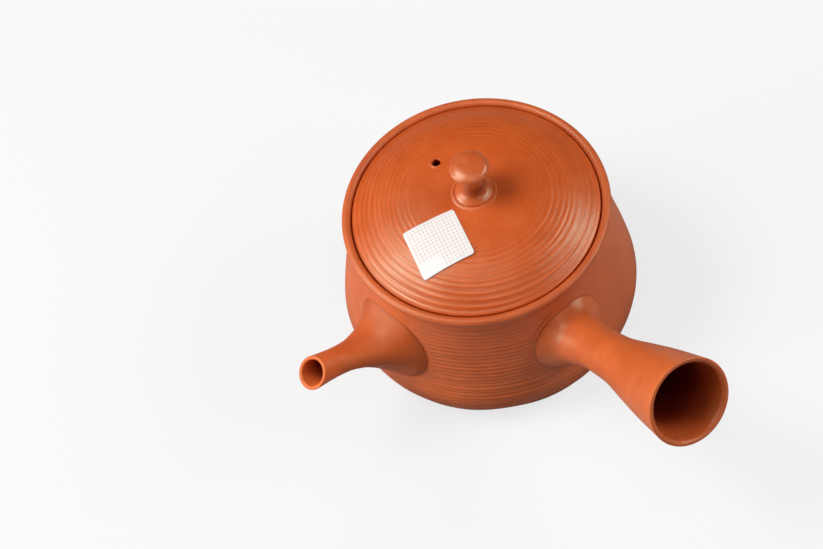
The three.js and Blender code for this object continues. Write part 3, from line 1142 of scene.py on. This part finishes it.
class Nodes:
    """Short names for building the nodes of a material or a world"""

    def __init__(self, owner):
        self.owner = owner
        self.owner.use_nodes = True
        self.tree = owner.node_tree
        self.shader = next(n for n in self.tree.nodes if n.type in ("BSDF_PRINCIPLED", "BACKGROUND"))

    def feed(self, node, inputs):
        for socket, value in inputs.items():
            if isinstance(value, bpy.types.NodeSocket):
                self.tree.links.new(value, node.inputs[socket])
            else:
                node.inputs[socket].default_value = value

    def add(self, kind, inputs, **settings):
        node = self.tree.nodes.new(kind)
        for key, value in settings.items():
            setattr(node, key, value)
        self.feed(node, inputs)
        return node

    def math(self, operation, a, b):
        return self.add("ShaderNodeMath", {0: a, 1: b}, operation=operation).outputs[0]

    def sum(self, a, b):
        return self.math("ADD", a, b)

    def product(self, a, b):
        return self.math("MULTIPLY", a, b)

    def vector(self, operation, *inputs):
        return self.add("ShaderNodeVectorMath", dict(enumerate(inputs)), operation=operation).outputs

    def scaled(self, vector, factors):
        return self.vector("MULTIPLY", vector, factors)[0]

    def times(self, colour, factor):
        return self.add("ShaderNodeVectorMath", {0: colour, "Scale": factor}, operation="SCALE").outputs[0]

    def parts(self, vector):
        return self.add("ShaderNodeSeparateXYZ", {"Vector": vector}).outputs

    def joined(self, *parts):
        return self.add("ShaderNodeCombineXYZ", dict(zip("XYZ", parts))).outputs[0]

    def noise(self, vector, scale, detail, rough):
        inputs = {"Vector": vector, "Scale": scale, "Detail": detail, "Roughness": rough}
        return self.add("ShaderNodeTexNoise", inputs).outputs[0]

    def span(self, value, low, high, to_low=0.0, to_high=1.0):
        inputs = dict(enumerate((value, low, high, to_low, to_high)))
        return self.add("ShaderNodeMapRange", inputs, interpolation_type="SMOOTHSTEP").outputs[0]

    def mix(self, share, first, second):
        colours = [c if isinstance(c, bpy.types.NodeSocket) else (*c, 1) for c in (first, second)]
        inputs = {0: share, 6: colours[0], 7: colours[1]}
        return self.add("ShaderNodeMix", inputs, data_type="RGBA").outputs[2]

    def shaded(self, colour, share, shade):
        """Darker and a little redder colour where a share is high, paler where it is negative"""
        loss = self.times((0.9 * shade, 1.1 * shade, 1.15 * shade), share)
        return self.scaled(colour, self.vector("SUBTRACT", (1, 1, 1), loss)[0])

    def attribute(self, name):
        return self.add("ShaderNodeAttribute", {}, attribute_name=name).outputs["Fac"]

    def bump(self, relief):
        """Normal from a relief in millimetres"""
        return self.add("ShaderNodeBump", {"Height": relief, "Strength": 1.0, "Distance": MM}).outputs[0]


def turning_lines(n, mm, lines):
    """Fine noise drawn out along the lines of the wheel.

    lines is "height" for rings up the pot, "radius" for rings on the lid, or else a tube's axis.
    """
    if isinstance(lines, np.ndarray):
        length = n.vector("DOT_PRODUCT", mm, tuple(lines))["Value"]
        slow = n.parts(n.scaled(mm, (0.05, 0.05, 0.05)))
        place = n.joined(slow["X"], slow["Y"], n.product(length, 1.2))
    elif lines == "height":
        place = n.scaled(mm, (0.045, 0.045, 1.5))
    else:
        flat = n.scaled(mm, (1, 1, 0))
        length = n.vector("LENGTH", flat)["Value"]
        way = n.parts(n.vector("NORMALIZE", flat)[0])
        place = n.joined(n.product(way["X"], 1.2), n.product(way["Y"], 1.2), n.product(length, 1.5))
    return n.noise(place, 1.0, 3.0, 0.65)


def clay(name, tones, lines, line_depth, roughness, groove_shade=0.4, hollow_shade=0.85, gloss=0.65):
    """Unglazed red clay: cloudy colour, fine grain, sparse dark specks and turning lines, with painted shade
    and painted highlight read from the piece's marks
    """
    n = Nodes(bpy.data.materials.new(name))
    place = n.add("ShaderNodeTexCoord", {}).outputs["Object"]
    mm = n.scaled(place, (1000, 1000, 1000))
    cloud = n.noise(mm, 0.03, 3.0, 0.55)
    patch = n.noise(mm, 0.16, 3.0, 0.6)
    grain = n.noise(mm, 2.4, 3.0, 0.6)
    fine_lines = turning_lines(n, mm, lines)
    painted_groove_shading = n.attribute("painted_groove_shading")
    specks = n.span(n.sum(n.noise(mm, 0.85, 1.0, 0.5), n.product(painted_groove_shading, 0.05)), 0.78, 0.815)
    share = n.sum(n.span(cloud, 0.35, 0.65, 0.1, 0.75), n.span(patch, 0.3, 0.7, -0.15, 0.2))
    colour = n.mix(share, *tones)
    colour = n.times(colour, n.span(grain, 0.25, 0.75, 0.93, 1.07))
    colour = n.times(colour, n.span(fine_lines, 0.3, 0.7, 1 - 0.1 * line_depth, 1 + 0.08 * line_depth))
    colour = n.mix(n.product(specks, 0.65), colour, [0.35 * part for part in tones[0]])
    # Painted shade and painted highlight carried by the piece's marks
    colour = n.shaded(colour, painted_groove_shading, groove_shade)
    colour = n.shaded(colour, n.attribute("painted_shading"), hollow_shade)
    rough = n.sum(n.span(patch, 0.3, 0.7, roughness - 0.04, roughness + 0.05),
                  n.span(grain, 0.3, 0.7, -0.03, 0.03))
    relief = n.sum(n.product(fine_lines, 0.12 * line_depth), n.product(grain, 0.022))
    relief = n.sum(relief, n.product(n.noise(mm, 0.55, 2.0, 0.5), 0.05))
    relief = n.math("SUBTRACT", relief, n.product(specks, 0.03))
    n.feed(n.shader, {
        "Base Color": colour, "Roughness": rough, "IOR": 1.5, "Specular IOR Level": gloss,
        "Specular Tint": (*sheen_tint, 1), "Normal": n.bump(relief),
    })
    return n.owner


def paper(name):
    """White paper printed with a fine pink grid, bare in one corner"""
    n = Nodes(bpy.data.materials.new(name))
    page = n.add("ShaderNodeTexCoord", {}).outputs["UV"]
    mm = n.scaled(page, (label_side, label_side, 0))
    across, up, _ = n.parts(mm)
    lines = [n.span(n.math("PINGPONG", run, grid_pitch / 2), 0.03, 0.11, 1.0, 0.0) for run in (across, up)]
    grid = n.math("MAXIMUM", *lines)
    far = label_side - grid_margin
    for run in (across, up):
        grid = n.product(grid, n.span(run, grid_margin, grid_margin + 0.1))
        grid = n.product(grid, n.span(run, far - 0.1, far, 1.0, 0.0))
    bare = n.product(n.span(across, blank_width, blank_width + 0.2, 1.0, 0.0),
                     n.span(up, blank_height, blank_height + 0.2, 1.0, 0.0))
    grid = n.product(grid, n.math("SUBTRACT", 1.0, bare))
    fibre = n.noise(mm, 2.6, 3.0, 0.6)
    worn = n.noise(mm, 0.9, 2.0, 0.5)
    grid = n.product(grid, n.span(worn, 0.3, 0.6, 0.45, 0.9))
    n.feed(n.shader, {
        "Base Color": n.mix(grid, n.mix(fibre, *paper_tones), print_colour),
        "Roughness": n.span(fibre, 0.3, 0.7, 0.6, 0.72), "Specular IOR Level": 0.2,
        "Normal": n.bump(n.product(fibre, 0.02)),
    })
    return n.owner


def pale_stone(name):
    """Plain pale floor that glows where it is seen, so that shadows stay soft, and lights little"""
    n = Nodes(bpy.data.materials.new(name))
    rays = n.add("ShaderNodeLightPath", {}).outputs
    seen = rays["Is Camera Ray"]
    pale = n.math("MAXIMUM", seen, n.product(rays["Is Glossy Ray"], 0.45))
    n.feed(n.shader, {
        "Base Color": n.mix(pale, floor_bounce, floor_seen), "Roughness": 0.7, "Specular IOR Level": 0.2,
    })
    glow = n.add("ShaderNodeEmission", {"Color": (*floor_glow, 1), "Strength": 1.0})
    inputs = {0: n.product(seen, 0.75), 1: n.shader.outputs[0], 2: glow.outputs[0]}
    surface = n.shader.outputs[0].links[0].to_socket
    n.tree.links.new(n.add("ShaderNodeMixShader", inputs).outputs[0], surface)
    return n.owner


# Floor, light and camera

def make_floor():
    reach = floor_reach / MM
    corners = [(-reach, -reach, 0), (reach, -reach, 0), (reach, reach, 0), (-reach, reach, 0)]
    floor = make_object("floor", corners, [(0, 1, 2, 3)])
    floor.data.materials.append(pale_stone("pale_floor"))


def add_lamp(name, azimuth, elevation, level):
    """Round soft lamp; level 1 lights a face turned to it as bright as its own colour"""
    light = bpy.data.lights.new(name, "AREA")
    light.shape = "DISK"
    light.size = lamp_size
    light.energy = level * (math.pi * lamp_distance) ** 2
    lamp = bpy.data.objects.new(name, light)
    way = Vector(direction(azimuth, elevation))
    lamp.location = way * lamp_distance + Vector(lamp_centre)
    lamp.rotation_euler = way.to_track_quat("Z", "Y").to_euler()
    bpy.context.scene.collection.objects.link(lamp)


def light_scene():
    for name, settings in lamps.items():
        add_lamp(name, *settings)
    n = Nodes(bpy.data.worlds.new("studio"))
    seen = n.add("ShaderNodeLightPath", {}).outputs["Is Camera Ray"]
    strength = n.add("ShaderNodeMapRange", {0: seen, 3: sky_level, 4: background_level}).outputs[0]
    n.feed(n.shader, {"Color": (1, 1, 1, 1), "Strength": strength})
    bpy.context.scene.world = n.owner


def make_camera():
    """Camera that looks down on the pot and sees the middle of its rim at the axis pixel"""
    cosine = math.cos(math.radians(view_elevation))
    sine = math.sin(math.radians(view_elevation))
    rolled = spun(view_roll) @ np.array([[1, 0, 0], [0, -sine, -cosine], [0, cosine, -sine]])
    look = np.array([axis_pixel[0] - image_width / 2, axis_pixel[1] - image_height / 2, focal_pixels])
    look /= np.linalg.norm(look)
    turn_axis = Vector((0, 0, 1)).cross(Vector(look))
    angle = Vector((0, 0, 1)).angle(Vector(look))
    rows = np.array(Matrix.Rotation(angle, 3, turn_axis.normalized())) @ rolled
    turn = spun(image_right_azimuth)
    place = turn @ (-rows.T @ (look * view_distance)) + np.array([0, 0, rim_height])
    columns = turn @ np.stack([rows[0], -rows[1], -rows[2]], -1)
    data = bpy.data.cameras.new("camera")
    data.sensor_fit = "HORIZONTAL"
    data.sensor_width = sensor_width
    data.lens = focal_pixels / image_width * sensor_width
    data.clip_start = 0.01
    data.clip_end = 50
    camera = bpy.data.objects.new("camera", data)
    camera.matrix_world = Matrix.Translation(Vector(place * MM)) @ Matrix(columns.tolist()).to_4x4()
    bpy.context.scene.collection.objects.link(camera)
    bpy.context.scene.camera = camera


def dress(piece, material, body, node):
    piece.data.materials.clear()
    piece.data.materials.append(material)
    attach(piece, body)
    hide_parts(node)


make_camera()
make_floor()
light_scene()

spout, spout_crease = make_spout()
handle, handle_crease = make_handle()
body = make_body([spout_crease, handle_crease])

body_clay = clay("body_clay", body_tones, "height", 0.25, 0.43, groove_shade=0.5)
spout_clay = clay("spout_clay", spout_tones, spout_axis, 0.15, 0.52, hollow_shade=0.75, gloss=0.5)
handle_clay = clay("handle_clay", handle_tones, handle_axis, 0.15, 0.42)
sieve_clay = clay("sieve_clay", sieve_tones, "height", 0.2, 0.5)
lid_clay = clay("lid_clay", lid_tones, "radius", 0.25, 0.35, groove_shade=0.2, gloss=0.85)
knob_clay = clay("knob_clay", knob_tones, "height", 0.15, 0.34, gloss=1.0)

dress(body, body_clay, "pot", "pot_body")
dress(spout, spout_clay, "pot", "spout")
dress(handle, handle_clay, "pot", "handle")
dress(make_sieve(), sieve_clay, "pot", "sieve")
dress(make_lid(), lid_clay, "lid", "lid")
dress(make_knob(), knob_clay, "lid", "lid_knob")
dress(make_label(), paper("label_paper"), "lid", "lid_label")

bpy.context.scene.view_settings.view_transform = "Standard"
bpy.context.view_layer.update()
